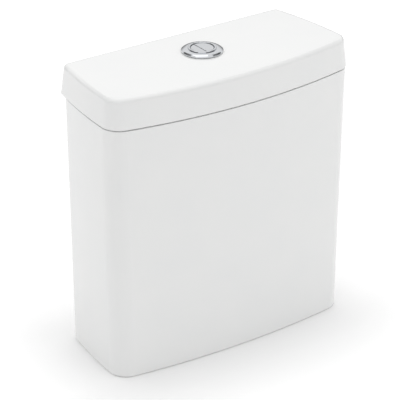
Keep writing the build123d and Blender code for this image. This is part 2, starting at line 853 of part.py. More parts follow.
def make_inlet_filter():
    bottom = shank_clearance_to_ground
    basket = bar(shank_bore, bottom, bottom + filter_depth)
    basket -= bar(shank_bore - filter_wall, bottom - cut_overrun, bottom + filter_depth - filter_wall)
    slot = block(0, 2 * shank_bore, -filter_wall / 2, filter_wall / 2, bottom + 2 * filter_wall,
                 bottom + filter_depth - 2 * filter_wall)
    for cutter in around(filter_slots, slot):
        basket -= cutter
    return at_inlet(basket)


def make_riser():
    bottom = lower_riser_top - riser_overlap
    return at_inlet(ring(riser_radius, riser_radius - riser_wall, bottom, fill_head_bottom))


def make_lock_ring():
    outer = lower_riser_radius + lock_ring_wall
    bottom = lower_riser_top
    body = bar(outer, bottom, bottom + lock_ring_height)
    rib = Pos(outer, 0, 0) * bar(lock_ring_rib_radius, bottom, bottom + lock_ring_height)
    body = body + around(lock_ring_ribs, rib)
    return at_inlet(body - bar(riser_radius, bottom - cut_overrun, bottom + lock_ring_height + cut_overrun))


def make_fill_head():
    head = bar(head_radius, fill_head_bottom, fill_head_top)
    hollow_bottom = fill_head_top - fill_head_height / 2
    head -= bar(head_radius - fill_head_wall, hollow_bottom, fill_head_top + cut_overrun)
    return at_inlet(head)


def make_diaphragm():
    radius = head_radius - fill_head_wall - thread_clearance
    return at_inlet(bar(radius, fill_head_top - diaphragm_thickness, fill_head_top))


def make_fill_cap():
    cap = bar(cap_radius, fill_head_top, cap_top)
    cap = fillet(cap.edges().filter_by(GeomType.CIRCLE).sort_by(Axis.Z)[-1], cap_round)
    notch = bar(cap_notch_radius, fill_head_top - cut_overrun, cap_top + cut_overrun)
    notch = Pos(cap_radius, 0, 0) * notch
    for cutter in around(cap_ribs, notch):
        cap -= cutter
    cap += bar(pilot_radius, cap_top, pilot_top)
    inner = float_lever_width / 2 + float_ear_gap
    outer = inner + float_ear_thickness
    x0 = float_pivot_offset - float_ear_half
    x1 = float_pivot_offset + float_ear_half
    hole_end = outer + cut_overrun
    for side in (-1, 1):
        cap += block(x0, x1, side * inner, side * outer, cap_top - cap_round, float_pivot_z)
        cap += bar_along_y(float_ear_half, float_pivot_offset, float_pivot_z, side * inner, side * outer)
        cap -= bar_along_y(float_pin_radius, float_pivot_offset, float_pivot_z, 0, side * hole_end)
    return at_inlet(cap)


def drooped(shape):
    """A piece of the float lever, drawn level about its pivot, tilted as an empty cistern leaves it."""
    return at_inlet(Pos(float_pivot_offset, 0, float_pivot_z) * Rot(0, float_lever_droop, 0) * shape)


def make_float_lever():
    half_thick = float_lever_thickness / 2
    half_wide = float_lever_width / 2
    tail = float_pivot_offset + half_wide
    reach = float_arm + link_collar_radius
    lever = block(-tail, reach, -half_wide, half_wide, -half_thick, half_thick)
    lever += bar_along_y(float_lever_thickness, 0, 0, -half_wide, half_wide)
    slot = link_radius + slot_clearance
    lever -= block(float_arm - slot, reach + cut_overrun, -slot, slot, -float_lever_width, float_lever_width)
    lever -= bar_along_y(float_pin_radius + pin_clearance, 0, 0, -float_lever_width, float_lever_width)
    return drooped(lever)


def make_pilot_seal():
    half_thick = float_lever_thickness / 2
    return drooped(Pos(-float_pivot_offset, 0, 0) * bar(pilot_seal_radius, -pilot_seal_z, -half_thick))


def make_float_pin():
    half = float_lever_width / 2 + float_ear_gap + float_ear_thickness
    return at_inlet(bar_along_y(float_pin_radius, float_pivot_offset, float_pivot_z, -half, half))


def make_float():
    bottom = float_top - float_height
    bore = riser_radius + float_gap
    body = fillet(bar(float_radius, bottom, float_top).edges().filter_by(GeomType.CIRCLE).sort_by(Axis.Z)[-1],
                  float_round)
    body -= ring(float_radius - float_wall, bore + float_wall, bottom - cut_overrun, float_top - float_wall)
    lug_top_z = float_top - float_lug_drop
    lug_x0 = float_radius - float_wall / 2
    ear = block(lug_x0, lug_x0 + float_lug_reach, -float_lug_width / 2, float_lug_width / 2,
                lug_top_z - float_lug_height, lug_top_z)
    body += fillet(ear.edges().filter_by(Axis.Z).sort_by(Axis.X)[-2:], float_lug_width / 3)
    body -= bar(bore, bottom - cut_overrun, float_top + cut_overrun)
    hole = Pos(link_offset, 0, 0) * bar(link_radius, bottom, float_top + cut_overrun)
    return at_inlet(body - hole)


def make_float_link():
    foot = float_top - float_lug_drop - float_lug_height - link_foot
    hold = float_lever_thickness / 2 + link_play
    top = link_hold_z + hold + link_collar_thickness
    link = bar(link_radius, foot, top)
    for z in (link_hold_z - hold - link_collar_thickness, link_hold_z + hold):
        link += bar(link_collar_radius, z, z + link_collar_thickness)
    return at_inlet(Pos(link_offset, 0, 0) * link)


def make_float_clip():
    top = float_top - float_lug_drop - float_lug_height
    clip = ring(link_radius + clip_wall, link_radius, top - clip_height, top)
    thumb = block(link_radius, link_radius + clip_thumb, -clip_wall, clip_wall, top - clip_height, top)
    return at_inlet(Pos(link_offset, 0, 0) * (clip + thumb))


# Pan fixings
def make_pan_bolts():
    head_bottom_z = floor_top + bolt_seal_thickness + bolt_washer_thickness
    head_top_z = head_bottom_z + bolt_head_height
    bolt = relieved(bolt_radius, bolt_clearance_to_ground, head_bottom_z, bolt_nut_bottom() - wing_height)
    head = bar(bolt_head_radius, head_bottom_z, head_top_z)
    head = fillet(head.edges().sort_by(Axis.Z)[-1], bolt_head_round)
    head -= block(-bolt_head_radius, bolt_head_radius, -bolt_slot_width / 2, bolt_slot_width / 2,
                  head_top_z - bolt_slot_depth, head_top_z + cut_overrun)
    return at_bolts(bolt + head)


def make_bolt_seals():
    seal = ring(bolt_seal_radius, bolt_radius, floor_top, floor_top + bolt_seal_thickness)
    return at_bolts(seal)


def make_bolt_washers():
    upper = floor_top + bolt_seal_thickness
    lower = skirt_depth - bolt_washer_thickness
    return [
        piece
        for level in (upper, lower)
        for piece in at_bolts(ring(bolt_washer_radius, bolt_radius, level, level + bolt_washer_thickness))
    ]


def bolt_nut_bottom():
    return skirt_depth - bolt_washer_thickness - bolt_nut_height


def make_bolt_nuts():
    nut = Pos(0, 0, bolt_nut_bottom()) * extrude(
        RegularPolygon(bolt_nut_across / 2, 6, major_radius=False).face(), bolt_nut_height)
    return at_bolts(nut - bar(bolt_radius, 0, skirt_depth))


def make_wing_nuts():
    top = bolt_nut_bottom()
    bottom = top - wing_height
    hub = bar(wing_hub_radius, bottom, top)
    profile = make_face(
        [
            Line((0, top), (wing_span / 2, top - wing_rise)),
            ThreePointArc(
                (wing_span / 2, top - wing_rise),
                (wing_span / 2 + wing_rise / 2, (top + bottom) / 2 - wing_rise),
                (wing_span / 2 - wing_rise / 2, bottom - wing_rise),
            ),
            Line((wing_span / 2 - wing_rise / 2, bottom - wing_rise), (wing_hub_radius / 2, bottom)),
            Line((wing_hub_radius / 2, bottom), (0, bottom)),
            Line((0, bottom), (0, top)),
        ]
    )
    wing = Pos(0, wing_thickness / 2, 0) * extrude(Plane.XZ * profile, wing_thickness)
    nut = hub + wing + Rot(0, 0, 180) * wing
    return at_bolts(nut - bar(bolt_radius, 0, skirt_depth))


save("tank", make_tank())
save("lid", make_lid())
save("button_bezel", make_bezel())
save("bezel_gasket", make_bezel_gasket())
save("button_clamp_nut", make_clamp_nut())
save("half_flush_button", make_button(-1))
save("full_flush_button", make_button(1))
save("half_push_rod", make_push_rod(-1))
save("full_push_rod", make_push_rod(1))
save("button_guide", make_button_guide())
save("half_button_spring", make_button_spring(-1))
save("full_button_spring", make_button_spring(1))
save("valve_base", make_valve_base())
save("valve_base_seal", make_base_seal())
save("outlet_nut", make_outlet_nut())
save("coupling_gasket", make_coupling_gasket())
save("tower_cage", make_cage())
save("tower_head", make_tower_head())
save("overflow_tube", make_overflow_tube())
save("lift_collar", make_lift_collar())
save("flush_seal", make_flush_seal())
save("seal_retainer", make_seal_retainer())
save("tube_float", make_tube_float())
save("port_sleeve", make_port_sleeve())
save("port_sleeve_seals", make_sleeve_seals())
save("half_flush_lever", make_half_lever())
save("full_flush_lever", make_full_lever())
save("lever_pins", make_lever_pins())
save("inlet_shank", make_shank())
save("inlet_seal", make_inlet_seal())
save("inlet_nut", make_inlet_nut())
save("inlet_filter", make_inlet_filter())
save("riser_tube", make_riser())
save("height_lock_ring", make_lock_ring())
save("fill_valve_head", make_fill_head())
save("fill_valve_diaphragm", make_diaphragm())
save("fill_valve_cap", make_fill_cap())
save("float_lever", make_float_lever())
save("pilot_seal", make_pilot_seal())
save("float_lever_pin", make_float_pin())
save("float", make_float())
save("float_link", make_float_link())
save("float_clip", make_float_clip())
save("pan_bolts", make_pan_bolts())
save("pan_bolt_seals", make_bolt_seals())
save("pan_bolt_washers", make_bolt_washers())
save("pan_bolt_nuts", make_bolt_nuts())
save("pan_wing_nuts", make_wing_nuts())

print("least gap between spring turns", round(spring_gap(), 3))
print("button travel", round(button_travel, 4), "tube lift", round(tube_lift, 4), "pivot z", pivot_z)
print("float travel", round(float_travel, 4), "float pivot z", float_pivot_z)
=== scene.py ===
import json
from math import cos, pi, radians, sin

import bpy
from mathutils import Matrix, Vector


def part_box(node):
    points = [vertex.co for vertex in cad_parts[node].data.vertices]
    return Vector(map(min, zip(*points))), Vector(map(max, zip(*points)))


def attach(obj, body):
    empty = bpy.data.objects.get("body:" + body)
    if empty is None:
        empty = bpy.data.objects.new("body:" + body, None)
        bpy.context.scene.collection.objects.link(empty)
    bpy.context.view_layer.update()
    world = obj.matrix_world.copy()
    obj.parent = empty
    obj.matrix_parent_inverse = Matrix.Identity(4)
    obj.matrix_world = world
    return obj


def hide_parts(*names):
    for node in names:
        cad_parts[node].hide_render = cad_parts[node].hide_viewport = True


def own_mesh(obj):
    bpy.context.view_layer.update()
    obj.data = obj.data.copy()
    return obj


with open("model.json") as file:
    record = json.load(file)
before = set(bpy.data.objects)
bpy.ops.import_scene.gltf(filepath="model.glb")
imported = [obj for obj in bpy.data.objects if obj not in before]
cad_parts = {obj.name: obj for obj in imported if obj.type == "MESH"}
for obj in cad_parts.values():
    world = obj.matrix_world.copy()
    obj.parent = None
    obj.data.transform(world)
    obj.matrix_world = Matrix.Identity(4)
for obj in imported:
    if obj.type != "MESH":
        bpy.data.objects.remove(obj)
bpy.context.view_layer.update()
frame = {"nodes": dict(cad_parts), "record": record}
nodes = frame["nodes"]
studio = bpy.context.scene
print("frame loaded:", len(nodes), "pieces")

mm = 0.001

# Blender tells the sockets of a colour Mix node apart only by number.
mixShare, mixFirst, mixSecond, mixColour = 0, 6, 7, 2


def linear(hexColour):     # sRGB hex to linear RGBA, by the standard curve
    channels = [int(hexColour[i:i + 2], 16) / 255 for i in (0, 2, 4)]
    return [*(c / 12.92 if c <= 0.04045 else ((c + 0.055) / 1.055) ** 2.4 for c in channels), 1.0]


def perMetre(sizeMm):     # texture scale that gives one cell of this size, in metre coordinates
    return 1000 / sizeMm


def addNode(tree, kind, settings=None, sockets=None, links=None):
    node = tree.nodes.new("ShaderNode" + kind)
    for key, value in (settings or {}).items():
        setattr(node, key, value)
    for key, value in (sockets or {}).items():
        node.inputs[key].default_value = value
    for key, (source, output) in (links or {}).items():
        tree.links.new(source.outputs[output], node.inputs[key])
    return node


def newMaterial(name):
    material = bpy.data.materials.new(name)
    material.use_nodes = True
    tree = material.node_tree
    tree.nodes.clear()
    return material, tree


# Vitreous china: slip cast, sprayed with a white glaze and fired.
# The eye sees an even white with a wet gloss, walls that wave a little, and a thin edge of
# buff bisque where the foot stood bare in the kiln. That bisque is painted darker than it is,
# as painted shade along the line where the foot meets the floor.
chinaFinish = {
    "glaze": "f3f3f2",
    "glazePool": "eff0f0",     # where the glaze ran a little thicker
    "poolMm": 60,
    "roughness": 0.10,
    "ior": 1.52,
    "waveMm": 85,
    "waveDepthMm": 0.10,
    "peelMm": 2.6,     # the fine orange peel of a sprayed glaze
    "peelDepthMm": 0.006,
    # real bisque, painted darker as shade along the foot's contact line
    "bisqueAndContactShade": "cbc4b6",
    "bisqueRoughness": 0.75,
    "bareTopMm": 0.5,     # how high the bare edge reaches above the ground
    "bareFadeMm": 0.5,
    "bareRagMm": 1.2,     # how ragged the glaze's lower line is
}


def glazedChina(finish):
    material, tree = newMaterial("whiteGlazedVitreousChina")
    place = addNode(tree, "TexCoord")
    here = {"Vector": (place, "Object")}
    wave = addNode(tree, "TexNoise", links=here, sockets={
        "Scale": perMetre(finish["waveMm"]), "Detail": 1.0})
    peel = addNode(tree, "TexNoise", links=here, sockets={
        "Scale": perMetre(finish["peelMm"]), "Detail": 2.0})
    pool = addNode(tree, "TexNoise", links=here, sockets={
        "Scale": perMetre(finish["poolMm"]), "Detail": 3.0})
    height = addNode(tree, "SeparateXYZ", links=here)
    edge = addNode(tree, "Math", {"operation": "MULTIPLY_ADD"},
                   {1: finish["bareRagMm"] * mm, 2: 0.0}, {0: (peel, 0)})
    level = addNode(tree, "Math", {"operation": "ADD"}, links={0: (height, "Z"), 1: (edge, 0)})
    bareAndShadedFoot = addNode(tree, "MapRange", links={"Value": (level, 0)}, sockets={
        "From Min": finish["bareTopMm"] * mm,
        "From Max": (finish["bareTopMm"] + finish["bareFadeMm"]) * mm,
        "To Min": 1.0, "To Max": 0.0})
    white = addNode(tree, "Mix", {"data_type": "RGBA"},
                    {mixFirst: linear(finish["glaze"]), mixSecond: linear(finish["glazePool"])},
                    {mixShare: (pool, 0)})
    # the bare foot: real bisque with painted contact shade
    colour = addNode(tree, "Mix", {"data_type": "RGBA"}, {mixSecond: linear(finish["bisqueAndContactShade"])},
                     {mixShare: (bareAndShadedFoot, 0), mixFirst: (white, mixColour)})
    dull = addNode(tree, "MapRange", links={"Value": (bareAndShadedFoot, 0)}, sockets={
        "To Min": finish["roughness"], "To Max": finish["bisqueRoughness"]})
    waves = addNode(tree, "Bump", links={"Height": (wave, 0)}, sockets={
        "Strength": 1.0, "Distance": finish["waveDepthMm"] * mm})
    skin = addNode(tree, "Bump", links={"Height": (peel, 0), "Normal": (waves, 0)}, sockets={
        "Strength": 1.0, "Distance": finish["peelDepthMm"] * mm})
    shader = addNode(tree, "BsdfPrincipled", sockets={"IOR": finish["ior"]}, links={
        "Base Color": (colour, mixColour), "Roughness": (dull, 0), "Normal": (skin, 0)})
    addNode(tree, "OutputMaterial", links={"Surface": (shader, 0)})
    return material


# Bright chrome, plated on ABS mouldings.
# The eye sees a mirror with a trace of ripple from the moulding, and faint wipe marks that dull it.
chromeFinish = {
    "metal": "d3d5d8",
    "roughness": 0.06,
    "wipedRoughness": 0.12,
    "wipeMm": 7,
    "wipeFrom": 0.35,     # the noise turns into wipe marks between these two levels
    "wipeTo": 0.75,
    "rippleMm": 9,
    "rippleDepthMm": 0.012,
}


def platedChrome(finish):
    material, tree = newMaterial("brightChromePlateOnAbs")
    place = addNode(tree, "TexCoord")
    here = {"Vector": (place, "Object")}
    wipe = addNode(tree, "TexNoise", links=here, sockets={
        "Scale": perMetre(finish["wipeMm"]), "Detail": 5.0})
    ripple = addNode(tree, "TexNoise", links=here, sockets={
        "Scale": perMetre(finish["rippleMm"]), "Detail": 0.0})
    dull = addNode(tree, "MapRange", links={"Value": (wipe, 0)}, sockets={
        "From Min": finish["wipeFrom"], "From Max": finish["wipeTo"],
        "To Min": finish["roughness"], "To Max": finish["wipedRoughness"]})
    skin = addNode(tree, "Bump", links={"Height": (ripple, 0)}, sockets={
        "Strength": 1.0, "Distance": finish["rippleDepthMm"] * mm})
    shader = addNode(tree, "BsdfPrincipled",
                     sockets={"Base Color": linear(finish["metal"]), "Metallic": 1.0},
                     links={"Roughness": (dull, 0), "Normal": (skin, 0)})
    addNode(tree, "OutputMaterial", links={"Surface": (shader, 0)})
    return material


# Injection-moulded polypropylene, acetal and ABS.
# The eye sees a satin skin, smoother on the acetal, with faint flow marks drawn out along the
# height, and edges that handling has scuffed pale. The grain of a spark-eroded tool is finer
# than this and is drawn coarse enough to show.
plasticFinishes = {
    "white_polypropylene": {"name": "whitePolypropylene", "base": "e3e5e2", "flow": "dadcda",
                            "roughness": 0.42, "grainMm": 0.7, "grainDepthMm": 0.02},
    "white_acetal": {"name": "whiteAcetal", "base": "e6e4dc", "flow": "dedbd1",
                     "roughness": 0.28, "grainMm": 1.1, "grainDepthMm": 0.008},
    "grey_abs": {"name": "greyAbs", "base": "a3a7a9", "flow": "999da0",
                 "roughness": 0.36, "grainMm": 0.7, "grainDepthMm": 0.015},
    "blue_polypropylene": {"name": "bluePolypropylene", "base": "3a6fae", "flow": "33649f",
                           "roughness": 0.40, "grainMm": 0.7, "grainDepthMm": 0.02},
    "red_polypropylene": {"name": "redPolypropylene", "base": "c0382d", "flow": "ae3027",
                          "roughness": 0.40, "grainMm": 0.7, "grainDepthMm": 0.02},
}
mouldingMarks = {
    "flowMm": 14,
    "flowStretch": (1.0, 1.0, 0.35),
    "flowSwirl": 0.8,
    "flowRoughness": 0.06,     # what a flow mark adds or takes
    "scuff": "f4f4f2",
    "scuffFrom": 0.55,     # how sharp an edge is where it starts to scuff
    "scuffTo": 0.64,
    "scuffMost": 0.22,
    "ior": 1.49,
}


def mouldedPlastic(finish, marks=mouldingMarks):
    material, tree = newMaterial(finish["name"])
    place = addNode(tree, "TexCoord")
    here = {"Vector": (place, "Object")}
    stretched = addNode(tree, "Mapping", sockets={"Scale": marks["flowStretch"]}, links=here)
    flow = addNode(tree, "TexNoise", links={"Vector": (stretched, 0)}, sockets={
        "Scale": perMetre(marks["flowMm"]), "Detail": 3.0, "Distortion": marks["flowSwirl"]})
    grain = addNode(tree, "TexNoise", links=here, sockets={
        "Scale": perMetre(finish["grainMm"]), "Detail": 2.0})
    worn = addNode(tree, "NewGeometry")
    edge = addNode(tree, "MapRange", links={"Value": (worn, "Pointiness")}, sockets={
        "From Min": marks["scuffFrom"], "From Max": marks["scuffTo"],
        "To Min": 0.0, "To Max": marks["scuffMost"]})
    mottled = addNode(tree, "Mix", {"data_type": "RGBA"},
                      {mixFirst: linear(finish["base"]), mixSecond: linear(finish["flow"])},
                      {mixShare: (flow, 0)})
    colour = addNode(tree, "Mix", {"data_type": "RGBA"}, {mixSecond: linear(marks["scuff"])},
                     {mixShare: (edge, 0), mixFirst: (mottled, mixColour)})
    dull = addNode(tree, "MapRange", links={"Value": (flow, 0)}, sockets={
        "To Min": finish["roughness"] - marks["flowRoughness"],
        "To Max": finish["roughness"] + marks["flowRoughness"]})
    skin = addNode(tree, "Bump", links={"Height": (grain, 0)}, sockets={
        "Strength": 1.0, "Distance": finish["grainDepthMm"] * mm})
    shader = addNode(tree, "BsdfPrincipled", sockets={"IOR": marks["ior"]}, links={
        "Base Color": (colour, mixColour), "Roughness": (dull, 0), "Normal": (skin, 0)})
    addNode(tree, "OutputMaterial", links={"Surface": (shader, 0)})
    return material


# Moulded rubbers.
# The eye sees EPDM as a dull black with clouds of grey bloom, and silicone as a clean satin grey.
rubberFinishes = {
    "black_rubber": {"name": "blackEpdmRubber", "base": "1d1d1e", "bloom": "3a3a3b",
                     "roughness": 0.62, "grainMm": 1.2},
    "grey_silicone": {"name": "greySilicone", "base": "75797b", "bloom": "818587",
                      "roughness": 0.45, "grainMm": 1.6},
}
rubberMarks = {
    "bloomMm": 9,
    "bloomFrom": 0.45,     # the noise turns into bloom between these two levels
    "bloomTo": 0.75,
    "bloomRoughness": 0.2,     # what the bloom adds
    "grainDepthMm": 0.03,
}


def mouldedRubber(finish, marks=rubberMarks):
    material, tree = newMaterial(finish["name"])
    place = addNode(tree, "TexCoord")
    here = {"Vector": (place, "Object")}
    bloom = addNode(tree, "TexNoise", links=here, sockets={
        "Scale": perMetre(marks["bloomMm"]), "Detail": 6.0, "Roughness": 0.7})
    grain = addNode(tree, "TexNoise", links=here, sockets={
        "Scale": perMetre(finish["grainMm"]), "Detail": 3.0})
    dusty = addNode(tree, "MapRange", links={"Value": (bloom, 0)}, sockets={
        "From Min": marks["bloomFrom"], "From Max": marks["bloomTo"]})
    colour = addNode(tree, "Mix", {"data_type": "RGBA"},
                     {mixFirst: linear(finish["base"]), mixSecond: linear(finish["bloom"])},
                     {mixShare: (dusty, 0)})
    dull = addNode(tree, "MapRange", links={"Value": (dusty, 0)}, sockets={
        "To Min": finish["roughness"], "To Max": finish["roughness"] + marks["bloomRoughness"]})
    skin = addNode(tree, "Bump", links={"Height": (grain, 0)}, sockets={
        "Strength": 1.0, "Distance": marks["grainDepthMm"] * mm})
    shader = addNode(tree, "BsdfPrincipled", links={
        "Base Color": (colour, mixColour), "Roughness": (dull, 0), "Normal": (skin, 0)})
    addNode(tree, "OutputMaterial", links={"Surface": (shader, 0)})
    return material


# Sponge rubber, cut from expanded sheet.
# The eye sees a dull black full of small round cells, which are drawn at twice their size to show.
# Their hollows are painted darker than the rubber, as painted shade inside the pores.
spongeFinish = {
    "skin": "2b2b2d",
    # painted shade in the cell hollows; the rubber itself is the skin colour
    "cellHollowShade": "0e0e0f",
    "cellMm": 1.6,
    "cellDepthMm": 0.5,
    "wallFrom": 0.25,     # a cell's hollow ends and its wall begins between these two levels
    "wallTo": 0.5,
    "roughness": 0.92,
}


def spongeRubber(finish):
    material, tree = newMaterial("blackSpongeRubber")
    place = addNode(tree, "TexCoord")
    cells = addNode(tree, "TexVoronoi", links={"Vector": (place, "Object")}, sockets={
        "Scale": perMetre(finish["cellMm"])})
    wall = addNode(tree, "MapRange", links={"Value": (cells, 0)}, sockets={
        "From Min": finish["wallFrom"], "From Max": finish["wallTo"]})
    # the hollows take the painted shade, the walls the rubber's own colour
    colour = addNode(tree, "Mix", {"data_type": "RGBA"},
                     {mixFirst: linear(finish["cellHollowShade"]), mixSecond: linear(finish["skin"])},
                     {mixShare: (wall, 0)})
    skin = addNode(tree, "Bump", links={"Height": (wall, 0)}, sockets={
        "Strength": 1.0, "Distance": finish["cellDepthMm"] * mm})
    shader = addNode(tree, "BsdfPrincipled", sockets={"Roughness": finish["roughness"]}, links={
        "Base Color": (colour, mixColour), "Normal": (skin, 0)})
    addNode(tree, "OutputMaterial", links={"Surface": (shader, 0)})
    return material


# Metals: drawn stainless wire, zinc-plated pressings and turned brass.
# The eye sees fine lines the way each was worked, a soft cloudiness on the zinc, and brass that
# browns in patches. The lines are drawn coarse enough to show.
metalFinishes = {
    "stainless_steel": {"name": "drawnStainlessSteel", "base": "c9c7c3", "stain": "b3afa8",
                        "roughness": 0.22, "lineMm": 0.5, "along": (1, 1, 0.08)},
    "zinc_steel": {"name": "zincPlatedSteel", "base": "bfc1bb", "stain": "a3a69f",
                   "roughness": 0.34, "lineMm": 3.0, "along": (1, 1, 1)},
    "brass": {"name": "turnedBrass", "base": "d9b26a", "stain": "a87f3f",
              "roughness": 0.24, "lineMm": 0.6, "along": (0.1, 0.1, 1)},
}
metalMarks = {
    "stainMm": 11,
    "stainFrom": 0.45,     # the noise turns into stain between these two levels
    "stainTo": 0.7,
    "lineRoughness": 0.18,     # what the lines add
    "lineDepthMm": 0.012,
}


def workedMetal(finish, marks=metalMarks):
    material, tree = newMaterial(finish["name"])
    place = addNode(tree, "TexCoord")
    here = {"Vector": (place, "Object")}
    stretched = addNode(tree, "Mapping", sockets={"Scale": finish["along"]}, links=here)
    lines = addNode(tree, "TexNoise", links={"Vector": (stretched, 0)}, sockets={
        "Scale": perMetre(finish["lineMm"]), "Detail": 3.0})
    stain = addNode(tree, "TexNoise", links=here, sockets={
        "Scale": perMetre(marks["stainMm"]), "Detail": 5.0})
    patchy = addNode(tree, "MapRange", links={"Value": (stain, 0)}, sockets={
        "From Min": marks["stainFrom"], "From Max": marks["stainTo"]})
    colour = addNode(tree, "Mix", {"data_type": "RGBA"},
                     {mixFirst: linear(finish["base"]), mixSecond: linear(finish["stain"])},
                     {mixShare: (patchy, 0)})
    dull = addNode(tree, "MapRange", links={"Value": (lines, 0)}, sockets={
        "To Min": finish["roughness"], "To Max": finish["roughness"] + marks["lineRoughness"]})
    skin = addNode(tree, "Bump", links={"Height": (lines, 0)}, sockets={
        "Strength": 1.0, "Distance": marks["lineDepthMm"] * mm})
    shader = addNode(tree, "BsdfPrincipled", sockets={"Metallic": 1.0}, links={
        "Base Color": (colour, mixColour), "Roughness": (dull, 0), "Normal": (skin, 0)})
    addNode(tree, "OutputMaterial", links={"Surface": (shader, 0)})
    return material


# One finish for each material slot of the record, under the slot's own name.
finishes = {
    "glazed_china": glazedChina(chinaFinish),
    "chrome_plate": platedChrome(chromeFinish),
    "foam_rubber": spongeRubber(spongeFinish),
}
for makeFinish, kinds in ((mouldedPlastic, plasticFinishes), (mouldedRubber, rubberFinishes),
                          (workedMetal, metalFinishes)):
    for slotName, finish in kinds.items():
        finishes[slotName] = makeFinish(finish)

for row in frame["record"]["subparts"]:
    piece = nodes[row["node"]]
    piece.data.materials.clear()
    piece.data.materials.append(finishes[row["material_slot"]])
print("finishes:", len(finishes))


def addPiece(name, points, faces, body, slotName):     # points in millimetres
    mesh = bpy.data.meshes.new(name)
    mesh.from_pydata([tuple(c * mm for c in p) for p in points], [], faces)
    mesh.update()
    mesh.shade_smooth()
    piece = bpy.data.objects.new(name, mesh)
    studio.collection.objects.link(piece)
    mesh.materials.append(finishes[slotName])
    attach(piece, body)
    return piece


# A section carried round a helix, thinning out to a point at both ends.
helix = {"stepsPerTurn": 40, "runOutTurns": 0.25, "pointShare": 0.02}


def helixSweep(centre, turns, coilRadius, heightAt, section):
    steps = int(turns * helix["stepsPerTurn"])
    count = len(section)
    points, faces = [], []
    for i in range(steps + 1):
        share = i / steps
        angle = 2 * pi * turns * share
        turnsToEnd = turns * min(share, 1 - share)
        taper = min(1.0, turnsToEnd / helix["runOutTurns"] + helix["pointShare"])
        for out, up in section:
            r = coilRadius + out * taper
            points.append((centre[0] + r * cos(angle), centre[1] + r * sin(angle),
                           heightAt(share) + up * taper))
        if i:
            base = (i - 1) * count
            faces += [(base + k, base + (k + 1) % count,
                       base + count + (k + 1) % count, base + count + k) for k in range(count)]
    faces += [tuple(range(count))[::-1], tuple(steps * count + k for k in range(count))]
    return points, faces


# Button springs: round stainless wire with closed ends, in place of the plain coils.
springWire = {
    "wireRadius": 0.35,
    "turns": 8,
    "closedShare": 0.14,     # of the wire, lying closed at each end
    "closedClimb": 1.02,     # a closed end climbs its own wire and a little more
    "sides": 10,
    "travel": 6.3,     # of the button above it
}


def buttonSpring(side, piece):
    node = f"{side}_button_spring"
    low, high = (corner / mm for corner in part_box(node))
    wire = piece["wireRadius"]
    coil = (high.x - low.x) / 2 - wire
    section = [(wire * cos(2 * pi * k / piece["sides"]), wire * sin(2 * pi * k / piece["sides"]))
               for k in range(piece["sides"])]
    bottom, top = low.z + wire, high.z - wire
    closed = piece["closedShare"]
    lead = 2 * wire * piece["closedClimb"]

    def heightAt(share):
        if share < closed:
            return bottom + lead * share / closed
        if share > 1 - closed:
            return top - lead * (1 - share) / closed
        return bottom + lead + (top - bottom - 2 * lead) * (share - closed) / (1 - 2 * closed)

    centre = ((low.x + high.x) / 2, (low.y + high.y) / 2)
    points, faces = helixSweep(centre, piece["turns"], coil, heightAt, section)
    spring = addPiece(f"{side}_spring_wire", points, faces, "lid_body", "stainless_steel")
    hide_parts(node)
    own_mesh(spring)


for side in ("half", "full"):
    buttonSpring(side, springWire)
print("springs wound")

# Screw threads: one ridge each, wound on the plain shafts where no nut covers them.
boltThread = {"node": "pan_bolts", "body": "tank_body", "slot": "brass", "radius": 4.0,
              "low": 3.8, "high": 21.5, "pitch": 1.25, "height": 0.20}
threads = {
    "inlet_thread": {"node": "inlet_shank", "body": "tank_body", "slot": "white_acetal",
                     "radius": 10.48, "low": 5.5, "high": 26.5, "pitch": 1.814, "height": 0.30},
    "left_bolt_thread": {**boltThread, "aside": -75},
    "right_bolt_thread": {**boltThread, "aside": 75},
    "sleeve_thread": {"node": "button_bezel", "body": "lid_body", "slot": "chrome_plate",
                      "radius": 18.5, "low": 365.0, "high": 372.4, "pitch": 2.0, "height": 0.35},
}
ridge = {"rootShare": 0.36, "crestShare": 0.2, "sunk": 0.05}     # sunk into the shaft, in mm


def middle(node):
    low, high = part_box(node)
    return (low + high) / 2 / mm


def screwThread(name, piece):
    centre = middle(piece["node"])
    x = centre.x + piece.get("aside", 0)
    low, rise = piece["low"], piece["high"] - piece["low"]
    root = piece["pitch"] * ridge["rootShare"]
    crest = root * ridge["crestShare"]
    foot, height = -ridge["sunk"], piece["height"]
    section = [(foot, -root), (height, -crest), (height, crest), (foot, root)]
    points, faces = helixSweep((x, centre.y), rise / piece["pitch"], piece["radius"],
                               lambda share: low + rise * share, section)
    addPiece(name, points, faces, piece["body"], piece["slot"])


for name, piece in threads.items():
    screwThread(name, piece)
print("threads cut:", len(threads))

# Studio: a seamless white floor under a pale dome, two softboxes above, and cards that only
# gloss sees. The dome and the floor show as white, and light the cistern at a plain level.
studioLight = {
    "zenith": 1.34,
    "horizon": 0.72,
    "dip": 0.42,     # how much darker the dome is behind the camera, to its left
    "dipTowards": (-0.80, -0.60, 0.0),
    "dipNarrow": 3.0,
    "overhead": {"place": (0.25, 0.65, 2.5), "size": 1.2, "power": 2.5},
    "backLeft": {"place": (-1.0, 1.5, 2.3), "size": 1.6, "power": 0.6},
    "aim": (0, 0, 0.2),
}


def softbox(name, lamp, aim):
    light = bpy.data.lights.new(name, "AREA")
    light.energy = lamp["power"]
    light.size = lamp["size"]
    light.shape = "SQUARE"
    holder = bpy.data.objects.new(name, light)
    holder.location = lamp["place"]
    towards = Vector(aim) - Vector(lamp["place"])
    holder.rotation_euler = towards.to_track_quat("-Z", "Y").to_euler()
    studio.collection.objects.link(holder)


def seenRays(tree):     # 1 where the lens, a reflection or glass looks, 0 for light itself
    path = addNode(tree, "LightPath")
    seen = addNode(tree, "Math", {"operation": "MAXIMUM"},
                   links={0: (path, "Is Camera Ray"), 1: (path, "Is Glossy Ray")})
    return addNode(tree, "Math", {"operation": "MAXIMUM"},
                   links={0: (seen, 0), 1: (path, "Is Transmission Ray")})


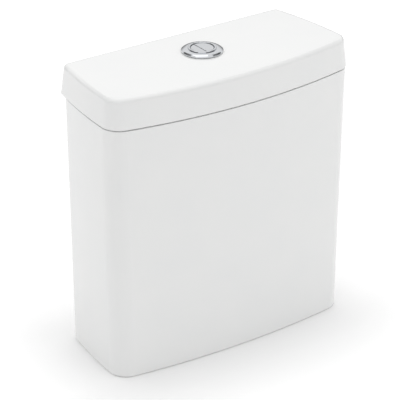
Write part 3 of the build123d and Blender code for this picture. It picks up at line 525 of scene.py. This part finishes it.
def studioWorld(light):
    world = bpy.data.worlds.new("studio")
    world.use_nodes = True
    tree = world.node_tree
    tree.nodes.clear()
    sky = addNode(tree, "TexCoord")
    height = addNode(tree, "SeparateXYZ", links={"Vector": (sky, "Generated")})
    rise = addNode(tree, "Math", {"operation": "MULTIPLY"},
                   links={0: (height, "Z"), 1: (height, "Z")})
    dome = addNode(tree, "MapRange", links={"Value": (rise, 0)}, sockets={
        "To Min": light["horizon"], "To Max": light["zenith"]})
    facing = addNode(tree, "VectorMath", {"operation": "DOT_PRODUCT"},
                     {1: light["dipTowards"]}, {0: (sky, "Generated")})
    front = addNode(tree, "Math", {"operation": "MAXIMUM"}, {1: 0.0}, {0: (facing, "Value")})
    narrow = addNode(tree, "Math", {"operation": "POWER"},
                     {1: light["dipNarrow"]}, {0: (front, 0)})
    dip = addNode(tree, "Math", {"operation": "MULTIPLY"}, {1: -light["dip"]}, {0: (narrow, 0)})
    level = addNode(tree, "Math", {"operation": "ADD"}, links={0: (dome, 0), 1: (dip, 0)})
    # A number Mix has its share on socket 0 and its two numbers on 2 and 3: 1 is white.
    strength = addNode(tree, "Mix", {"data_type": "FLOAT"}, {3: 1.0},
                       {0: (seenRays(tree), 0), 2: (level, 0)})
    lamp = addNode(tree, "Background", sockets={"Color": linear("ffffff")},
                   links={"Strength": (strength, 0)})
    addNode(tree, "OutputWorld", links={"Surface": (lamp, 0)})
    studio.world = world


# Paper on the floor: it burns out to white away from the cistern. Close to the foot its glow is
# turned down, a painted shadow that follows the foot's outline and deepens the real soft shadow.
floorPaper = {
    "size": 12.0,
    "white": "f9f9f9",
    "foot": (0.15, 0.065, 0.0),     # half of the cistern's foot, along x and y
    # the glow at the foot, kept low to paint a shadow around it
    "paintedShadowLift": 0.01,
    "farLift": 0.17,
    # the painted shadow reaches this far from the foot
    "paintedShadowReach": 0.20,     # how far from the foot the paper is quite white
}


def seamlessFloor(paperSheet):
    material, tree = newMaterial("whiteSeamlessPaper")
    place = addNode(tree, "TexCoord")
    aside = addNode(tree, "VectorMath", {"operation": "ABSOLUTE"}, links={0: (place, "Object")})
    past = addNode(tree, "VectorMath", {"operation": "SUBTRACT"},
                   {1: paperSheet["foot"]}, {0: (aside, 0)})
    outside = addNode(tree, "VectorMath", {"operation": "MAXIMUM"},
                      {1: (0.0, 0.0, 0.0)}, {0: (past, 0)})
    away = addNode(tree, "VectorMath", {"operation": "LENGTH"}, links={0: (outside, 0)})
    # the glow rises away from the foot: a painted shadow around the cistern
    liftWithPaintedShadow = addNode(tree, "MapRange", {"interpolation_type": "SMOOTHSTEP"}, {
        "From Min": 0.0, "From Max": paperSheet["paintedShadowReach"],
        "To Min": paperSheet["paintedShadowLift"], "To Max": paperSheet["farLift"]},
        {"Value": (away, "Value")})
    strength = addNode(tree, "Math", {"operation": "MULTIPLY"},
                       links={0: (seenRays(tree), 0), 1: (liftWithPaintedShadow, 0)})
    paper = addNode(tree, "BsdfDiffuse", sockets={"Color": linear(paperSheet["white"])})
    glow = addNode(tree, "Emission", links={"Strength": (strength, 0)})
    both = addNode(tree, "AddShader", links={0: (paper, 0), 1: (glow, 0)})
    addNode(tree, "OutputMaterial", links={"Surface": (both, 0)})
    mesh = bpy.data.meshes.new("floor")
    half = paperSheet["size"] / 2
    corners = [(-half, -half, 0), (half, -half, 0), (half, half, 0), (-half, half, 0)]
    mesh.from_pydata(corners, [], [(0, 1, 2, 3)])
    mesh.materials.append(material)
    floor = bpy.data.objects.new("floor", mesh)
    studio.collection.objects.link(floor)


# Cards that only gloss sees: a pale one behind, graded to dark at its foot, dark ones at both
# sides, and two higher up for the chrome. Angles are in degrees from the x axis, heights in
# metres, dark and pale in the strength of white.
cardDistance = 1.6
sideCard = {"low": 0.20, "high": 1.9, "dark": 0.25, "pale": 0.35,
            "gradeLow": 0.45, "gradeHigh": 1.9, "steps": 16}
highCard = {"low": 1.35, "high": 3.2, "dark": 0.12, "pale": 0.30,
            "gradeLow": 1.35, "gradeHigh": 3.2, "steps": 12}
glossCards = {
    "behind": {"from": -3, "to": 113, "low": 0.0, "high": 1.25, "dark": 0.10, "pale": 0.95,
               "gradeLow": 0.40, "gradeHigh": 1.05, "steps": 24},
    "left": {"from": 116, "to": 200, **sideCard},
    "right": {"from": -95, "to": -6, **sideCard},
    "highLeft": {"from": 88, "to": 128, **highCard},
    "highRight": {"from": -18, "to": 22, **highCard},
}


def reflectionCard(side, card):
    material, tree = newMaterial(side + "Card")
    place = addNode(tree, "TexCoord")
    height = addNode(tree, "SeparateXYZ", links={"Vector": (place, "Object")})
    grade = addNode(tree, "MapRange", links={"Value": (height, "Z")}, sockets={
        "From Min": card["gradeLow"], "From Max": card["gradeHigh"],
        "To Min": card["dark"], "To Max": card["pale"]})
    glow = addNode(tree, "Emission", links={"Strength": (grade, 0)})
    addNode(tree, "OutputMaterial", links={"Surface": (glow, 0)})
    turn = (card["to"] - card["from"]) / card["steps"]
    angles = [radians(card["from"] + turn * i) for i in range(card["steps"] + 1)]
    points = [(cardDistance * cos(a), cardDistance * sin(a), z)
              for a in angles for z in (card["low"], card["high"])]
    faces = [(2 * i, 2 * i + 2, 2 * i + 3, 2 * i + 1) for i in range(card["steps"])]
    mesh = bpy.data.meshes.new(side + "Card")
    mesh.from_pydata(points, [], faces)
    mesh.materials.append(material)
    shown = bpy.data.objects.new(side + "Card", mesh)
    studio.collection.objects.link(shown)
    shown.visible_camera = False
    shown.visible_diffuse = False
    shown.visible_shadow = False
    shown.visible_transmission = False


studioWorld(studioLight)
seamlessFloor(floorPaper)
for side, card in glossCards.items():
    reflectionCard(side, card)
for name in ("overhead", "backLeft"):
    softbox(name, studioLight[name], studioLight["aim"])
print("studio lit")

# Camera: place, aim and crop worked out from the outline of the cistern in the photograph.
cameraFit = {
    "azimuth": 35.25,
    "elevation": 25.93,
    "distanceMm": 3099.0,
    "targetMm": (0, 0, 196),
    "focalPixels": 2363.7,
    "centrePixels": (207.17, 192.16),
    "rollDegrees": 0.18,
    "framePixels": 400,
    "sensorMm": 36,
    "reach": 50,     # metres
}


def placeCamera(fit):
    a, e = radians(fit["azimuth"]), radians(fit["elevation"])
    forward = Vector((sin(a) * cos(e), cos(a) * cos(e), -sin(e)))
    data = bpy.data.cameras.new("camera")
    data.sensor_width = fit["sensorMm"]
    data.lens = fit["focalPixels"] / fit["framePixels"] * fit["sensorMm"]
    data.shift_x = 0.5 - fit["centrePixels"][0] / fit["framePixels"]
    data.shift_y = fit["centrePixels"][1] / fit["framePixels"] - 0.5
    data.clip_end = fit["reach"]
    camera = bpy.data.objects.new("camera", data)
    roll = Matrix.Rotation(radians(fit["rollDegrees"]), 3, "Z")
    turn = forward.to_track_quat("-Z", "Y").to_matrix() @ roll
    place = (Vector(fit["targetMm"]) - forward * fit["distanceMm"]) * mm
    camera.matrix_world = Matrix.Translation(place) @ turn.to_4x4()
    studio.collection.objects.link(camera)
    studio.camera = camera


placeCamera(cameraFit)
studio.view_settings.view_transform = "Standard"
print("camera placed")
